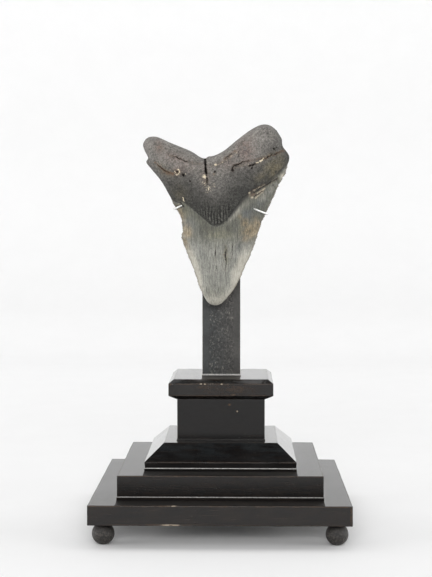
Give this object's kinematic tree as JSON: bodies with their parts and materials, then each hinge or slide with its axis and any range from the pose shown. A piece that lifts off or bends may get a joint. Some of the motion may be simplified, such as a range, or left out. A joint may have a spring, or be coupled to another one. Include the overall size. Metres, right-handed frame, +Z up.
{
  "type": "megalodon tooth",
  "caption": "Large fossil shark tooth, point down, held by wire claws in front of a square post on a stepped, ebonised wooden stand with ball feet.",
  "frame": {"origin": "middle of the stand's square footprint, on the surface that its ball feet stand on", "axes": "+Z up along the post; the tooth's rounded inner face looks towards -Y and its taller root lobe lies towards +X"},
  "size_m": [0.184, 0.184, 0.296],
  "materials": {
    "fossil": "matt, finely pitted brown-grey root and smoother streaked grey enamel",
    "ebonised_wood": "satin black stain and polish with brown, rubbed edges",
    "ebonised_post": "open-pored black stain with pale flecks",
    "ebonised_feet": "dull brown-black",
    "claw_wire": "bright silvery wire",
    "bracket_metal": "dull lacquered brass"
  },
  "bodies": {
    "root": {"tooth": "fossil", "claw_left": "claw_wire", "claw_right": "claw_wire", "bracket_plate": "bracket_metal", "bracket_screw_upper": "bracket_metal", "bracket_screw_lower": "bracket_metal", "post": "ebonised_post", "cap": "ebonised_wood", "pedestal_block": "ebonised_wood", "bevelled_plinth": "ebonised_wood", "middle_step": "ebonised_wood", "base_slab": "ebonised_wood", "foot_front_left": "ebonised_feet", "foot_front_right": "ebonised_feet", "foot_back_left": "ebonised_feet", "foot_back_right": "ebonised_feet"}
  },
  "joints": []
}
